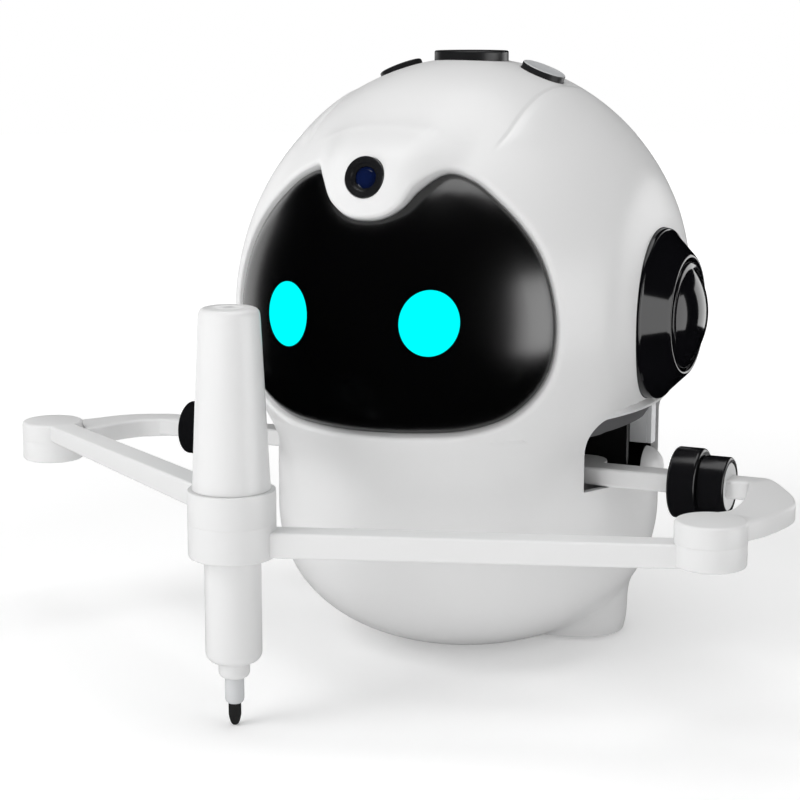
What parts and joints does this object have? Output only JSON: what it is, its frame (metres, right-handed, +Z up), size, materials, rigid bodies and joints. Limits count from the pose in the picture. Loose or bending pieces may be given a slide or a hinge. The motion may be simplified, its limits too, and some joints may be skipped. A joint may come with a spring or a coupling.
{
  "type": "desktop drawing robot",
  "caption": "Rounded desktop robot with a dark visor and lit eyes; two hooked linkage arms leave the sides, meet in front and hold an upright pen that they move and lift over paper.",
  "frame": {"origin": "on the table, at the middle of the central rubber foot, under the head's centre", "axes": "+X to the robot's arm side shown furthest right when its face is towards the viewer, +Y towards its back, +Z up; the face looks along -Y"},
  "size_m": [0.2535, 0.2093, 0.18],
  "materials": {
    "white_shell": "gloss white moulding",
    "white_arm": "satin white moulding",
    "black_satin": "satin black moulding",
    "black_gloss": "polished black",
    "grey_button": "light grey, satin",
    "eye_light": "lit cyan diffuser",
    "metal_bezel": "turned ring",
    "lens_glass": "coated lens",
    "circuit_board": "solder mask green",
    "steel": "plated",
    "inner_black": "plain black",
    "inner_grey": "satin grey",
    "servo_case": "dark blue case",
    "battery_wrap": "heat-shrink sleeve",
    "rubber": "matt rubber",
    "pen_white": "satin light grey",
    "pen_grey": "light grey collar",
    "felt": "dark felt"
  },
  "bodies": {
    "robot_body": {"head_front_shell": "white_shell", "head_rear_shell": "white_shell", "torso_front_shell": "white_shell", "torso_rear_shell": "white_shell", "shell_screws": "steel", "visor": "black_gloss", "eye_right": "eye_light", "eye_left": "eye_light", "eye_board_right": "circuit_board", "eye_board_left": "circuit_board", "camera_bezel": "metal_bezel", "camera_lens": "lens_glass", "camera_module": "inner_black", "ear_pod_right": "black_gloss", "ear_pod_left": "black_gloss", "ear_cap_right": "black_gloss", "ear_cap_left": "black_gloss", "base_plate": "inner_grey", "base_screws": "steel", "rubber_feet": "rubber", "chassis": "inner_black", "guide_rods": "steel", "side_frame_right": "inner_grey", "side_frame_left": "inner_grey", "battery": "battery_wrap", "main_board": "circuit_board", "speaker": "inner_black", "usb_port": "steel", "switch_body": "inner_black", "button_board": "circuit_board", "lift_servo": "servo_case"},
    "lift_carriage": {"lift_carriage": "inner_black", "shoulder_servo_right": "servo_case", "shoulder_servo_left": "servo_case", "servo_screws": "steel"},
    "lift_cam": {"lift_cam": "inner_black"},
    "right_upper_arm": {"inner_bar_right": "white_arm", "arm_socket_right": "black_satin", "hook_arm_right": "white_arm", "elbow_pin_right": "steel"},
    "left_upper_arm": {"inner_bar_left": "white_arm", "arm_socket_left": "black_satin", "hook_arm_left": "white_arm", "elbow_pin_left": "steel"},
    "right_lock": {"lock_ring_right": "black_satin"},
    "left_lock": {"lock_ring_left": "black_satin"},
    "right_forearm": {"forearm_right": "white_arm", "pen_bush": "pen_white"},
    "left_forearm": {"forearm_left": "white_arm"},
    "pen": {"pen_barrel": "pen_white", "pen_cap": "pen_white", "pen_tip": "pen_grey", "pen_nib": "felt"},
    "button_centre": {"button_centre": "black_satin"},
    "button_right": {"button_right": "grey_button"},
    "button_left": {"button_left": "black_satin"},
    "power_switch": {"power_switch": "inner_black"}
  },
  "joints": [
    {"name": "pen_lift", "type": "slide", "parent": "robot_body", "child": "lift_carriage", "axis": [0, 0, 1], "range_m": [0, 0.004]},
    {"name": "lift_cam_spin", "type": "hinge", "parent": "robot_body", "child": "lift_cam", "pos_m": [0, 0.013, 0.027], "axis": [0, -1, 0], "range_deg": [0, 115]},
    {"name": "right_shoulder", "type": "hinge", "parent": "lift_carriage", "child": "right_upper_arm", "pos_m": [0.043, -0.0159, 0.055], "axis": [0, 0, 1], "range_deg": [-22, 18]},
    {"name": "left_shoulder", "type": "hinge", "parent": "lift_carriage", "child": "left_upper_arm", "pos_m": [-0.043, -0.0159, 0.055], "axis": [0, 0, 1], "range_deg": [-11.1, 9.1]},
    {"name": "right_elbow", "type": "hinge", "parent": "right_upper_arm", "child": "right_forearm", "pos_m": [0.1016, -0.0805, 0.057], "axis": [0, 0, 1], "range_deg": [-15.5, 19]},
    {"name": "left_elbow", "type": "hinge", "parent": "left_upper_arm", "child": "left_forearm", "pos_m": [-0.1269, -0.0416, 0.057], "axis": [0, 0, 1], "range_deg": [-6.5, 5.3]},
    {"name": "pen_pull", "type": "slide", "parent": "right_forearm", "child": "pen", "axis": [0, 0, 1], "range_m": [0, 0.06]},
    {"name": "right_lock_turn", "type": "hinge", "parent": "right_upper_arm", "child": "right_lock", "pos_m": [0.0861, -0.0208, 0.058], "axis": [1, 0, 0], "range_deg": [0, 60]},
    {"name": "left_lock_turn", "type": "hinge", "parent": "left_upper_arm", "child": "left_lock", "pos_m": [-0.0903, -0.011, 0.058], "axis": [-1, 0, 0], "range_deg": [0, 60]},
    {"name": "centre_press", "type": "slide", "parent": "robot_body", "child": "button_centre", "axis": [0, 0, -1], "range_m": [0, 0.001], "stiffness_N_per_m": 800, "springref_m": -0.0003},
    {"name": "right_press", "type": "slide", "parent": "robot_body", "child": "button_right", "axis": [-0.3743, 0, -0.9273], "range_m": [0, 0.0009], "stiffness_N_per_m": 800, "springref_m": -0.0003},
    {"name": "left_press", "type": "slide", "parent": "robot_body", "child": "button_left", "axis": [0.3743, 0, -0.9273], "range_m": [0, 0.0009], "stiffness_N_per_m": 800, "springref_m": -0.0003},
    {"name": "power_slide", "type": "slide", "parent": "robot_body", "child": "power_switch", "axis": [1, 0, 0], "range_m": [0, 0.003]}
  ],
  "couplings": [
    {"joint": "left_shoulder", "follows": "right_shoulder", "ratio": 0.5},
    {"joint": "right_elbow", "follows": "right_shoulder", "ratio": -0.858},
    {"joint": "left_elbow", "follows": "right_shoulder", "ratio": 0.291},
    {"joint": "lift_cam_spin", "follows": "pen_lift", "rad_per_m": 500}
  ]
}
